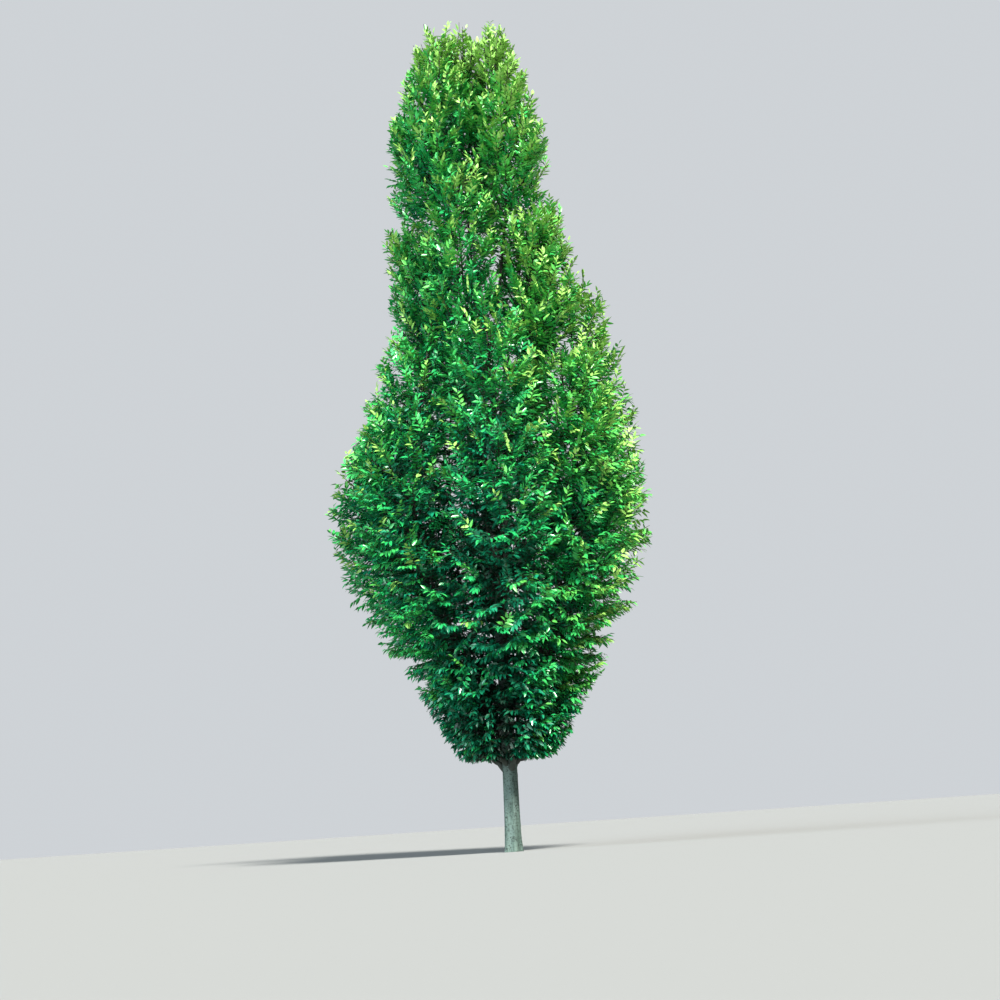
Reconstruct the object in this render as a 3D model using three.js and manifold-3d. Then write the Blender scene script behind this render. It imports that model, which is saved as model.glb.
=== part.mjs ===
// A columnar hornbeam: one trunk with its leader, a bough for each plume, and upright plumes of leafy twigs.
// Millimetres, +Z up, +X to the right and -Y towards the viewer. The origin is the middle of the flat cut
// under the trunk, at ground level.
import * as THREE from "three";
import { mergeVertices } from "three/addons/utils/BufferGeometryUtils.js";
import Module from "manifold-3d";

const wasm = await Module();
wasm.setup();

// Driving dimensions. Heights below are shares of treeHeight, and distances out from the trunk are shares
// of halfSpread.
const treeHeight = 6560;
const halfSpread = 1250;
const crownFoot = 0.104; // the lowest leaves
const clearance = 0.3; // between solids that meet face to face
// How far merging small faces may move a surface: each is tried in turn.
const meshTolerances = [2.5, 2, 3, 1.5, 1, 2.2, 1.8, 3.5, 0.7, 0.5];
const fileStep = 1e-4;

// The trunk: its radii, the height over which the root flare dies away, its lean and its sinewy flutes.
const trunk = {
  footRadius: 59,
  forkRadius: 56,
  forkHeight: 0.1,
  tipRadius: 7,
  tipHeight: 0.75,
  taperPower: 0.8,
  flare: 12,
  flareHeight: 95,
  lean: 17,
  leanCycles: 1.3,
  flutes: 5,
  fluteDepth: 0.035,
  fluteTurnHeight: 900,
  sides: 15,
  rings: 16,
  ringCrowding: 1.9,
};

// A limb leaves the trunk at its foot, turns up at its elbow, enters its plume, passes the plume's belly
// and ends at the plume's tip. Places are [out, up]; an elbow is out only, halfway up to the entry. girth
// is the plume's greatest radius as a share of halfSpread. sunReach is how much further out the belly and
// the tip are on the side that faces +X, and sunRise how much taller the plumes are there. Every second
// tip of a ring is taller by stagger, and the rest are shorter by it.
const rings = [
  {
    name: "skirt", count: 6, turn: -68, foot: 0.088, footStep: 0.003, elbowOut: 0.055,
    entry: [0.12, 0.114], belly: [0.25, 0.18], tip: [0.72, 0.31],
    girth: 0.24, footShare: 0.42, limbRadius: 21, entryRadius: 12, twigs: 14,
    sunReach: [0.02, 0.02], sunRise: 0.01, stagger: 0.04,
  },
  {
    name: "flank", count: 7, turn: -87, foot: 0.126, footStep: 0.008, elbowOut: 0.095,
    entry: [0.2, 0.195], belly: [0.61, 0.38], tip: [0.475, 0.61],
    girth: 0.42, footShare: 0.42, limbRadius: 24, entryRadius: 14, twigs: 24,
    sunReach: [0, 0.26], sunRise: 0.055, stagger: 0.07,
  },
  {
    name: "shoulder", count: 5, turn: -30, foot: 0.225, footStep: 0.012, elbowOut: 0.08,
    entry: [0.14, 0.43], belly: [0.3, 0.6], tip: [0.39, 0.79],
    girth: 0.32, footShare: 0.5, limbRadius: 20, entryRadius: 12, twigs: 17,
    sunReach: [0.26, 0.05], sunRise: -0.03, stagger: 0.045,
  },
  {
    name: "crest", count: 3, turn: -26, foot: 0.42, footStep: 0.014, elbowOut: 0.07,
    entry: [0.17, 0.68], belly: [0.27, 0.805], tip: [0.15, 0.965],
    girth: 0.29, footShare: 0.66, limbRadius: 14, entryRadius: 10, twigs: 14,
    sunReach: [-0.08, 0.2], sunRise: -0.015, stagger: 0,
  },
];
const leaderPlume = {
  name: "leader", count: 1, turn: 0,
  entry: [0, 0.75], belly: [0.012, 0.84], tip: [0, 0.97],
  girth: 0.31, footShare: 0.68, entryRadius: 7, twigs: 12,
  sunReach: [0, 0], sunRise: 0, stagger: 0,
};

// A plume's radius along its stem, as shares of its girth, and where along the stem it is widest.
const plumeShape = { tip: 0.42, widest: 0.5 };
const plumeBalls = 12;
const tipRadius = 4; // of a stem
const collar = 20; // the straight length on each side of where a bough enters its plume
const limbSteps = 6;
const limbSides = 5;
const shortestStem = 0.6; // as a share of the whole stem
const heightScatter = 0.025; // of a plume's tip height, from plume to plume
const turnScatter = 4; // degrees
const spaceMargin = 15; // kept clear on each side of the border between two plumes
const coreMargin = 18; // the same, for cores
const limbMargin = 22; // kept clear round limbs that pass a plume
const hollowStep = 20; // the heights at which the passing limbs are measured
const hollowCount = Math.ceil(treeHeight / hollowStep) + 2;
const hollowSamples = 30;
const hollowBand = 60;

// The leafless core inside each plume, as a share of the plume's radius.
const core = {
  share: 0.7, lumps: 0.3, rings: 9, sides: 8,
  from: 0.02, to: 0.95, endShare: 0.6, taperLength: 0.12, least: 8,
};

// Twigs fan out on the side of their stem that faces away from the trunk, and climb more steeply towards
// the top of the tree.
const twig = {
  from: 0.05,
  to: 0.93,
  fan: 120,
  leaderFan: 180, // the leader has no side that faces away from the trunk, so its twigs go all round
  goldenShare: 0.618034,
  lowClimb: 12,
  highClimb: 60,
  climbScatter: 10,
  footDroop: 50,
  droopLength: 0.36,
  footRadius: 7,
  tipRadius: 3,
  woodShare: 0.7,
  leastReach: 130,
  step: 15,
};

// Each leaf blade stands for a spray: a leaf outline that is widest nearer its foot, with a ridge on both
// faces.
const spray = {
  girthShare: 0.84,
  widthShare: 0.5,
  thicknessShare: 0.018,
  widestAt: 0.42,
  rootSunk: 0.12,
  roll: 40,
  reachShare: 0.8,
  sideAngle: 50,
  sideShare: 0.9,
  sidePlaces: [0.36, 0.54],
  tipShare: 0.8,
  tipBack: 0.07,
  tipTurns: 3,
  tipClimb: 56,
};

const up = new THREE.Vector3(0, 0, 1);
const trunkTop = trunk.tipHeight * treeHeight;
const nearlyUpright = 0.05; // how level the cross product with up must be to give a direction
const radians = THREE.MathUtils.degToRad;
const lerp = THREE.MathUtils.lerp;

// A number from 0 to 1 that depends only on its three whole numbers.
function chance(a, b, c) {
  const wave = Math.sin(a * 12.9898 + b * 78.233 + c * 37.719) * 43758.5453;
  return wave - Math.floor(wave);
}

// The trunk's middle at a height: it leans towards +X at its foot and comes back above the fork.
function trunkMiddle(z) {
  const share = z / trunkTop;
  return new THREE.Vector3(trunk.lean * Math.sin(Math.PI * Math.min(1, 2 * trunk.leanCycles * share)), 0, z);
}

// The trunk's plain radius at a height, without flare or flutes.
function trunkRadius(z) {
  const fork = trunk.forkHeight * treeHeight;
  if (z < fork) return lerp(trunk.footRadius, trunk.forkRadius, z / fork);
  return lerp(trunk.forkRadius, trunk.tipRadius, ((z - fork) / (trunkTop - fork)) ** trunk.taperPower);
}

// A closed skin through rings of points: flat caps on the end rings.
function loftedSolid(ringPoints) {
  const sides = ringPoints[0].length;
  const corners = ringPoints.flat().flatMap((p) => [p.x, p.y, p.z]);
  const faces = [];
  for (let i = 0; i + 1 < ringPoints.length; i++) {
    for (let j = 0; j < sides; j++) {
      const a = i * sides + j;
      const b = i * sides + ((j + 1) % sides);
      faces.push(a, b, b + sides, a, b + sides, a + sides);
    }
  }
  const last = (ringPoints.length - 1) * sides;
  for (let j = 1; j + 1 < sides; j++) {
    faces.push(0, j + 1, j);
    faces.push(last, last + j, last + j + 1);
  }
  return solidOf(corners, faces);
}

function solidOf(corners, faces) {
  const geometry = new THREE.BufferGeometry();
  geometry.setAttribute("position", new THREE.Float32BufferAttribute(corners, 3));
  geometry.setIndex(faces);
  const merged = mergeVertices(geometry, 1e-3);
  return new wasm.Manifold(
    new wasm.Mesh({
      numProp: 3,
      vertProperties: merged.attributes.position.array,
      triVerts: new Uint32Array(merged.index.array),
    }),
  );
}

// Two directions square to a direction, the first of them level where it can be.
function crossDirections(along) {
  const side = new THREE.Vector3().crossVectors(up, along);
  if (side.length() < nearlyUpright) side.set(1, 0, 0).addScaledVector(along, -along.x);
  side.normalize();
  return [side, new THREE.Vector3().crossVectors(along, side).normalize()];
}

// A tapering limb along a list of points, with its ends cut square.
function limbSolid(points, radii, sides) {
  const ringPoints = points.map((p, i) => {
    const before = points[Math.max(0, i - 1)];
    const after = points[Math.min(points.length - 1, i + 1)];
    const [side, over] = crossDirections(new THREE.Vector3().subVectors(after, before).normalize());
    return Array.from({ length: sides }, (_, j) => {
      const angle = (2 * Math.PI * j) / sides;
      return p
        .clone()
        .addScaledVector(side, radii[i] * Math.cos(angle))
        .addScaledVector(over, radii[i] * Math.sin(angle));
    });
  });
  return loftedSolid(ringPoints);
}

// The trunk with its root flare and flutes, made fatter by extra. Its rings crowd towards the ground.
function trunkSolid(extra) {
  const ringPoints = Array.from({ length: trunk.rings }, (_, i) => {
    const z = trunkTop * (i / (trunk.rings - 1)) ** trunk.ringCrowding;
    const middle = trunkMiddle(z);
    const flare = trunk.flare * Math.exp(-z / trunk.flareHeight);
    return Array.from({ length: trunk.sides }, (__, j) => {
      const angle = (2 * Math.PI * j) / trunk.sides;
      const lobe = Math.cos(trunk.flutes * angle + z / trunk.fluteTurnHeight);
      const radius = trunkRadius(z) * (1 + trunk.fluteDepth * lobe) + flare * (1 + 0.5 * lobe) + extra;
      return new THREE.Vector3(Math.cos(angle) * radius + middle.x, Math.sin(angle) * radius + middle.y, z);
    });
  });
  return loftedSolid(ringPoints);
}

// Every plume of a ring, with its limb's curve and the balls that its leaves stay inside.
function plumesOf(ring, firstIndex) {
  return Array.from({ length: ring.count }, (_, k) => {
    const index = firstIndex + k;
    const turn = radians(ring.turn + (360 * k) / ring.count + turnScatter * (2 * chance(index, 1, 0) - 1));
    const [bellyReach, tipReach] = ring.sunReach.map((share) => 1 + share * Math.cos(turn));
    const scatter = heightScatter * (2 * chance(index, 2, 0) - 1);
    const height = 1 + scatter + ring.sunRise * Math.cos(turn) + ring.stagger * (k % 2 ? -1 : 1);
    const place = ([out, rise], taller = 1, wider = 1) => {
      const z = rise * treeHeight * taller;
      const distance = out * halfSpread * wider;
      return trunkMiddle(Math.min(z, trunkTop))
        .setZ(z)
        .add(new THREE.Vector3(Math.cos(turn) * distance, Math.sin(turn) * distance, 0));
    };
    const belly = place(ring.belly, 1, bellyReach);
    const stemPlaces = [place(ring.entry), belly, place(ring.tip, height, tipReach)];
    const footUp = ring.foot ? ring.foot + ring.footStep * ((k * 3) % ring.count) : 0.5 * ring.entry[1];
    const elbow = [ring.elbowOut ?? 0, (footUp + ring.entry[1]) / 2];
    const limbPlaces = [place([0, footUp]), place(elbow), ...stemPlaces];
    const curve = new THREE.CatmullRomCurve3(limbPlaces, false, "catmullrom", 0.5);
    const stemAt = (t) => curve.getPoint(0.5 + 0.5 * t);
    const radiusAt = (t) => {
      const { tip, widest } = plumeShape;
      const edge = t < widest ? ring.footShare : tip;
      const away = t < widest ? 1 - t / widest : (t - widest) / (1 - widest);
      return ring.girth * halfSpread * (1 - (1 - edge) * away * away);
    };
    const balls = Array.from({ length: plumeBalls }, (__, b) => {
      const t = b / (plumeBalls - 1);
      return { middle: stemAt(t), radius: radiusAt(t) };
    });
    return { ring, index, number: k + 1, turn, curve, stemAt, radiusAt, balls };
  });
}

const plumes = [];
for (const ring of [...rings, leaderPlume]) plumes.push(...plumesOf(ring, plumes.length));

// How far a point lies from a plume's nearest ball: below 0 inside it. The ball comes with it.
function powerTo(plume, p) {
  let best = null;
  for (const ball of plume.balls) {
    const power = p.distanceToSquared(ball.middle) - ball.radius ** 2;
    if (!best || power < best.power) best = { power, ball };
  }
  return best;
}

// The radius round the trunk's middle, at a height, that holds the trunk and every bough of the rings above.
function hollowRadius(ring, z) {
  if (z >= trunkTop - hollowStep) return 0;
  let hollow = trunkRadius(z) + limbMargin;
  const above = rings.slice(rings.includes(ring) ? rings.indexOf(ring) + 1 : rings.length);
  for (const plume of plumes.filter((other) => above.includes(other.ring))) {
    const { limbRadius, entryRadius } = plume.ring;
    for (let i = 0; i < hollowSamples; i++) {
      const at = plume.curve.getPoint((0.5 * i) / (hollowSamples - 1));
      const radius = lerp(limbRadius, entryRadius, i / (hollowSamples - 1));
      if (Math.abs(z - at.z) > hollowBand + radius) continue;
      const middle = trunkMiddle(z);
      hollow = Math.max(hollow, Math.hypot(at.x - middle.x, at.y - middle.y) + radius + limbMargin);
    }
  }
  return hollow;
}

// Hollow radii by height, worked out once for each ring.
const hollows = new Map(
  [...rings, leaderPlume].map((ring) => [
    ring,
    Array.from({ length: hollowCount }, (_, i) => hollowRadius(ring, i * hollowStep)),
  ]),
);

// True where a point belongs to a plume: inside its balls, nearer to it than to any other plume, clear of
// the limbs inside the crown and not below the crown's foot.
function inSpace(plume, p, margin = spaceMargin) {
  if (p.z < crownFoot * treeHeight || p.z > treeHeight) return false;
  const middle = trunkMiddle(Math.min(p.z, trunkTop));
  const hollow = hollows.get(plume.ring)[Math.round(p.z / hollowStep)];
  if (Math.hypot(p.x - middle.x, p.y - middle.y) < hollow) return false;
  const mine = powerTo(plume, p);
  if (mine.power > 0) return false;
  return plumes.every((other) => {
    if (other === plume) return true;
    const theirs = powerTo(other, p);
    const apart = mine.ball.middle.distanceTo(theirs.ball.middle);
    return theirs.power - mine.power > 2 * margin * apart;
  });
}

// Where a plume's stem ends: at its tip, or lower where another plume has taken the space of its tip.
for (const plume of plumes) {
  plume.end = 1;
  while (plume.end > shortestStem && !inSpace(plume, plume.stemAt(plume.end))) plume.end -= 0.02;
}

// How far a plume's space goes from a point in a direction, in steps.
function reachOf(plume, from, direction, most, margin) {
  let reach = 0;
  while (reach < most && inSpace(plume, from.clone().addScaledVector(direction, reach + twig.step), margin)) {
    reach += twig.step;
  }
  return reach;
}

// The core: level rings of points round the stem, each as far out as its share of the plume and the
// space allow. They draw in at both ends.
function coreSolid(plume) {
  const ringPoints = Array.from({ length: core.rings }, (_, i) => {
    const t = plume.end * lerp(core.from, core.to, i / (core.rings - 1));
    const at = plume.stemAt(t);
    const toEnd = Math.min(t - core.from * plume.end, core.to * plume.end - t);
    const taper = Math.min(1, core.endShare + toEnd / core.taperLength);
    return Array.from({ length: core.sides }, (__, j) => {
      const angle = (2 * Math.PI * (j + 0.5 * (i % 2))) / core.sides;
      const outward = new THREE.Vector3(Math.cos(angle), Math.sin(angle), 0);
      const lump = 1 - core.lumps * chance(plume.index, i, j);
      const wanted = core.share * plume.radiusAt(t) * taper * lump;
      const allowed = reachOf(plume, at, outward, wanted, coreMargin);
      return at.clone().addScaledVector(outward, Math.max(core.least, Math.min(wanted, allowed)));
    });
  });
  return loftedSolid(ringPoints);
}

// The corners of a spray's blade: root, widest on either side, tip, and the ridge above and below.
function sprayCorners(root, direction, length, roll) {
  const [level, over] = crossDirections(direction);
  const side = level.clone().multiplyScalar(Math.cos(roll)).addScaledVector(over, Math.sin(roll));
  const normal = new THREE.Vector3().crossVectors(direction, side).normalize();
  const place = (along, across, ridge) =>
    root
      .clone()
      .addScaledVector(direction, (along * (1 + spray.rootSunk) - spray.rootSunk) * length)
      .addScaledVector(side, across * 0.5 * spray.widthShare * length)
      .addScaledVector(normal, ridge * 0.5 * spray.thicknessShare * length);
  return [
    place(0, 0, 0),
    place(spray.widestAt, 1, 0),
    place(1, 0, 0),
    place(spray.widestAt, -1, 0),
    place(spray.widestAt, 0, 1),
    place(spray.widestAt, 0, -1),
  ];
}

function spraySolid(corners) {
  const rim = [0, 1, 2, 3];
  const faces = rim.flatMap((a, i) => {
    const b = rim[(i + 1) % rim.length];
    return [b, a, 4, a, b, 5];
  });
  return solidOf(
    corners.flatMap((p) => [p.x, p.y, p.z]),
    faces,
  );
}

// One spray, or nothing where its tip or sides would leave the plume's space.
function sprayIn(plume, root, direction, length, roll) {
  const corners = sprayCorners(root, direction, length, radians(roll));
  return corners.slice(1).every((p) => inSpace(plume, p)) ? [spraySolid(corners)] : [];
}

// A direction that climbs by an angle, out from the stem at a turn.
function climbing(turn, climb) {
  const level = Math.cos(climb);
  return new THREE.Vector3(Math.cos(turn) * level, Math.sin(turn) * level, Math.sin(climb));
}

// A direction that turns away from another to one side.
function sideways(direction, sign) {
  const [side] = crossDirections(direction);
  const angle = radians(spray.sideAngle);
  return direction.clone().multiplyScalar(Math.cos(angle)).addScaledVector(side, sign * Math.sin(angle));
}

// The twigs of a plume, each with a spray on its tip and one on either side, as a list of solids.
function twigSolids(plume) {
  const solids = [];
  const count = plume.ring.twigs;
  const longest = spray.girthShare * plume.ring.girth * halfSpread;
  for (let n = 0; n < count; n++) {
    const t = plume.end * lerp(twig.from, twig.to, (n + 0.5) / count);
    const from = plume.stemAt(t);
    const place = (n * twig.goldenShare + chance(plume.index, 3, 0)) % 1;
    const fan = plume.ring.foot ? twig.fan : twig.leaderFan;
    const turn = plume.turn + radians(fan * (2 * place - 1));
    const climb = radians(
      lerp(twig.lowClimb, twig.highClimb, from.z / treeHeight) +
        twig.climbScatter * (2 * chance(plume.index, n, 5) - 1) -
        twig.footDroop * Math.max(0, 1 - t / twig.droopLength),
    );
    const direction = climbing(turn, climb);
    const along = (distance) => from.clone().addScaledVector(direction, distance);
    const reach = reachOf(plume, from, direction, 2 * halfSpread);
    if (reach < twig.leastReach) continue;
    solids.push(limbSolid([from, along(twig.woodShare * reach)], [twig.footRadius, twig.tipRadius], 3));
    const length = Math.min(longest, spray.reachShare * reach);
    const roll = spray.roll * (n % 2 ? 1 : -1);
    solids.push(...sprayIn(plume, along(reach - length), direction, length, roll));
    spray.sidePlaces.forEach((share, i) => {
      const sign = i % 2 ? -1 : 1;
      const sideLength = length * spray.sideShare;
      const start = along(share * reach);
      solids.push(...sprayIn(plume, start, sideways(direction, sign), sideLength, sign * spray.roll));
    });
  }
  return solids;
}

// The sprays round the tip of a plume's stem, and the one that stands on it.
function tipSolids(plume) {
  const tip = plume.stemAt(plume.end);
  const length = spray.tipShare * spray.girthShare * plume.ring.girth * halfSpread;
  const along = new THREE.Vector3().subVectors(tip, plume.stemAt(plume.end - 0.03)).normalize();
  const reach = reachOf(plume, tip, along, 2 * length);
  const solids = sprayIn(plume, tip.clone().addScaledVector(along, reach - length), along, length, 0);
  for (let k = 0; k < spray.tipTurns; k++) {
    const turn = radians((360 * k) / spray.tipTurns + 360 * chance(plume.index, 6, k));
    const root = plume.stemAt(plume.end - spray.tipBack);
    solids.push(...sprayIn(plume, root, climbing(turn, radians(spray.tipClimb)), length, spray.roll));
  }
  return solids;
}

// A plume's stem, from just clear of its bough's tip up to the plume's tip.
function stemSolid(plume) {
  const begin = plume.stemAt(0);
  const along = new THREE.Vector3().subVectors(plume.stemAt(0.01), begin).normalize();
  const points = [clearance, collar].map((distance) => begin.clone().addScaledVector(along, distance));
  const radii = [plume.ring.entryRadius, plume.ring.entryRadius];
  for (let i = 1; i < limbSteps; i++) {
    points.push(plume.stemAt((plume.end * i) / (limbSteps - 1)));
    radii.push(lerp(plume.ring.entryRadius, tipRadius, i / (limbSteps - 1)));
  }
  return limbSolid(points, radii, limbSides);
}

// The largest piece of a solid, with anything loose or hollow left out.
function largestPiece(solid) {
  const pieces = solid.decompose();
  return pieces.reduce((best, piece) => (piece.volume() > best.volume() ? piece : best));
}

// True where every edge lies between just two faces once the corners are rounded as a file keeps them.
function isClosed(solid) {
  const { vertProperties, triVerts } = solid.getMesh();
  const corner = (v) => [0, 1, 2].map((k) => Math.round(vertProperties[3 * v + k] / fileStep)).join(" ");
  const names = Array.from({ length: vertProperties.length / 3 }, (_, v) => corner(v));
  const uses = new Map();
  for (let i = 0; i < triVerts.length; i += 3) {
    for (let k = 0; k < 3; k++) {
      const edge = [names[triVerts[i + k]], names[triVerts[i + ((k + 1) % 3)]]].sort().join(",");
      uses.set(edge, (uses.get(edge) ?? 0) + 1);
    }
  }
  return [...uses.values()].every((count) => count === 2);
}

// A fused solid with its small faces merged, as one closed piece that stays closed when it is written.
function tidied(solid) {
  for (const tolerance of meshTolerances) {
    let piece = largestPiece(solid.asOriginal().simplify(tolerance));
    for (let pass = 0; pass < 4; pass++) {
      const { vertProperties, triVerts } = piece.getMesh();
      piece = largestPiece(solidOf(Array.from(vertProperties), Array.from(triVerts)));
    }
    if (isClosed(piece)) return piece;
  }
  throw new Error("a mass doesn't close");
}

// A bough: from the trunk's skin to where it enters its plume.
function boughSolid(plume, trunkClear) {
  const { limbRadius, entryRadius } = plume.ring;
  const end = plume.stemAt(0);
  const along = new THREE.Vector3().subVectors(plume.stemAt(0.01), end).normalize();
  const points = [];
  const radii = [];
  for (let i = 0; i + 1 < limbSteps; i++) {
    points.push(plume.curve.getPoint((0.5 * i) / (limbSteps - 1)));
    radii.push(lerp(limbRadius, entryRadius, i / (limbSteps - 1)));
  }
  points.push(end.clone().addScaledVector(along, -collar), end);
  radii.push(entryRadius, entryRadius);
  return largestPiece(limbSolid(points, radii, limbSides).subtract(trunkClear));
}

function named(solid, name, material) {
  const { vertProperties, triVerts } = solid.getMesh();
  const geometry = new THREE.BufferGeometry();
  geometry.setAttribute("position", new THREE.BufferAttribute(vertProperties, 3));
  geometry.setIndex(new THREE.BufferAttribute(triVerts, 1));
  geometry.computeVertexNormals();
  const mesh = new THREE.Mesh(geometry, material);
  mesh.name = name;
  return mesh;
}

const bark = new THREE.MeshStandardMaterial({ color: 0x8a8c80, roughness: 0.85, metalness: 0 });
const boughBark = new THREE.MeshStandardMaterial({ color: 0x5d5a4c, roughness: 0.85, metalness: 0 });
const leaves = new THREE.MeshStandardMaterial({ color: 0x2f7a35, roughness: 0.55, metalness: 0 });
const youngLeaves = new THREE.MeshStandardMaterial({ color: 0x5c9a3a, roughness: 0.55, metalness: 0 });

const tree = new THREE.Group();
tree.add(named(trunkSolid(0), "trunk", bark));
const trunkClear = trunkSolid(clearance);
for (const plume of plumes) {
  const name = plume.ring.count > 1 ? plume.ring.name + "_" + plume.number : plume.ring.name;
  if (plume.ring.foot) tree.add(named(boughSolid(plume, trunkClear), "bough_" + name, boughBark));
  const parts = [stemSolid(plume), coreSolid(plume), ...twigSolids(plume), ...tipSolids(plume)];
  const fused = tidied(wasm.Manifold.union(parts));
  const high = plume.ring.name === "crest" || plume.ring.name === "leader";
  tree.add(named(fused, "foliage_" + name, high ? youngLeaves : leaves));
}

export default tree;
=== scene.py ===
import bpy
import numpy as np
from mathutils import Matrix


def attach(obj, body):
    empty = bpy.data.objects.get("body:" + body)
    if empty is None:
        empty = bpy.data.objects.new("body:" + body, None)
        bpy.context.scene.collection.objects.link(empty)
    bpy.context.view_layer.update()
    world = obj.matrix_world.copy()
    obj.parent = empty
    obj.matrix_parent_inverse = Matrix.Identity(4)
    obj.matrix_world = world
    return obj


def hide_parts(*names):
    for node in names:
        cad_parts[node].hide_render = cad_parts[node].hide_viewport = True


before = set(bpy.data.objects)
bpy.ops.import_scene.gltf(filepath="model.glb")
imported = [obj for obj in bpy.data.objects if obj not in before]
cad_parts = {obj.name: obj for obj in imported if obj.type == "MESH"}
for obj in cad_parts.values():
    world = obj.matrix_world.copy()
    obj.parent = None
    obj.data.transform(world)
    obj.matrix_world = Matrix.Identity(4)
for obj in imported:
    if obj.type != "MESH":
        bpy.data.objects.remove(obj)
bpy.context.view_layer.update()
dice = np.random.default_rng(463)
print("frame loaded with", len(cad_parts), "nodes")

viewer = {
    "place": (0.0, -17.262, 0.25),
    "yaw": 0.25,  # degrees
    "pitch": 8.06,
    "roll": -3.79,
    "lens": 81.0,
    "sensor": 36.0,
}


# The matrix that turns a thing's own axes to three directions and puts it at a place.
def turnedTo(right, top, back, place):
    turned = np.eye(4)
    turned[:3, :3] = np.stack([right, top, back], axis=1)
    turned[:3, 3] = place
    return Matrix(turned.tolist())


# The camera looks along a direction turned by yaw and raised by pitch, then rolls about it.
def makeCamera():
    yaw, pitch, roll = np.radians([viewer["yaw"], viewer["pitch"], viewer["roll"]])
    ahead = np.array([np.sin(yaw) * np.cos(pitch), np.cos(yaw) * np.cos(pitch), np.sin(pitch)])
    level = np.array([np.cos(yaw), -np.sin(yaw), 0.0])
    over = np.cross(level, ahead)
    right = level * np.cos(roll) + over * np.sin(roll)
    top = over * np.cos(roll) - level * np.sin(roll)
    data = bpy.data.cameras.new("viewer")
    data.lens = viewer["lens"]
    data.sensor_width = viewer["sensor"]
    data.clip_end = 200.0
    camera = bpy.data.objects.new("viewer", data)
    camera.matrix_world = turnedTo(right, top, -ahead, viewer["place"])
    bpy.context.scene.collection.objects.link(camera)
    bpy.context.scene.camera = camera


makeCamera()
print("camera placed")

# The tree's driving sizes, the same as its solids have. Heights in the rings are shares of the height, and
# distances out from the trunk are shares of the half spread.
tree = {
    "height": 6.56,
    "halfSpread": 1.25,
    "crownFoot": 0.104,
    "turnScatter": 4.0,
    "heightScatter": 0.025,
    "limbClear": 0.022,
    "hollowStep": 0.02,
    "hollowSamples": 30,
    "hollowBand": 0.06,
    "shortestStem": 0.6,
    "stemStep": 0.02,  # by which a stem is cut back until its tip is in its own space
    "stemTipRadius": 0.004,
}
trunk = {
    "footRadius": 0.059,
    "forkRadius": 0.056,
    "forkHeight": 0.1,
    "tipRadius": 0.007,
    "tipHeight": 0.75,
    "taperPower": 0.8,
    "flare": 0.012,
    "flareHeight": 0.095,
    "lean": 0.017,
    "leanCycles": 1.3,
    "flutes": 5,
    "fluteDepth": 0.035,
    "flareFluteDepth": 0.5,
    "fluteTurnHeight": 0.9,
}
rings = [
    {
        "name": "skirt", "count": 6, "turn": -68, "foot": 0.088, "footStep": 0.003, "elbowOut": 0.055,
        "entry": (0.12, 0.114), "belly": (0.25, 0.18), "tip": (0.72, 0.31),
        "girth": 0.24, "footShare": 0.42, "limbRadius": 0.021, "entryRadius": 0.012, "twigs": 14,
        "sunReach": (0.02, 0.02), "sunRise": 0.01, "stagger": 0.04,
    },
    {
        "name": "flank", "count": 7, "turn": -87, "foot": 0.126, "footStep": 0.008, "elbowOut": 0.095,
        "entry": (0.2, 0.195), "belly": (0.61, 0.38), "tip": (0.475, 0.61),
        "girth": 0.42, "footShare": 0.42, "limbRadius": 0.024, "entryRadius": 0.014, "twigs": 24,
        "sunReach": (0.0, 0.26), "sunRise": 0.055, "stagger": 0.07,
    },
    {
        "name": "shoulder", "count": 5, "turn": -30, "foot": 0.225, "footStep": 0.012, "elbowOut": 0.08,
        "entry": (0.14, 0.43), "belly": (0.3, 0.6), "tip": (0.39, 0.79),
        "girth": 0.32, "footShare": 0.5, "limbRadius": 0.020, "entryRadius": 0.012, "twigs": 17,
        "sunReach": (0.26, 0.05), "sunRise": -0.03, "stagger": 0.045,
    },
    {
        "name": "crest", "count": 3, "turn": -26, "foot": 0.42, "footStep": 0.014, "elbowOut": 0.07,
        "entry": (0.17, 0.68), "belly": (0.27, 0.805), "tip": (0.15, 0.965),
        "girth": 0.29, "footShare": 0.66, "limbRadius": 0.014, "entryRadius": 0.010, "twigs": 14,
        "sunReach": (-0.08, 0.2), "sunRise": -0.015, "stagger": 0.0,
    },
    {
        "name": "leader", "count": 1, "turn": 0, "foot": 0.0, "footStep": 0.0, "elbowOut": 0.0,
        "entry": (0.0, 0.75), "belly": (0.012, 0.84), "tip": (0.0, 0.97),
        "girth": 0.31, "footShare": 0.68, "limbRadius": 0.007, "entryRadius": 0.007, "twigs": 12,
        "sunReach": (0.0, 0.0), "sunRise": 0.0, "stagger": 0.0,
    },
]
plumeShape = {"tip": 0.42, "widest": 0.5, "balls": 12}
trunkTop = trunk["tipHeight"] * tree["height"]
upward = np.array([0.0, 0.0, 1.0])
nearlyUpright = 0.05  # how level the cross product with upward must be to give a direction


# A number from 0 to 1 for each three whole numbers: the part after the point of a large sine.
def chance(a, b, c):
    wave = np.sin(a * 12.9898 + b * 78.233 + c * 37.719) * 43758.5453
    return wave - np.floor(wave)


# The value that lies a share of the way from the start to the end.
def blendOf(start, end, share):
    return start + (end - start) * share


# The products of two arrays' coordinates, summed for each vector.
def dot(a, b):
    return np.sum(a * b, axis=-1, keepdims=True)


# Vectors divided by their lengths.
def unit(v):
    return v / np.maximum(np.linalg.norm(v, axis=-1, keepdims=True), 1e-9)


# The part of v that is square to a direction, at length 1.
def squareTo(v, along):
    return unit(v - dot(v, along) * along)


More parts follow.
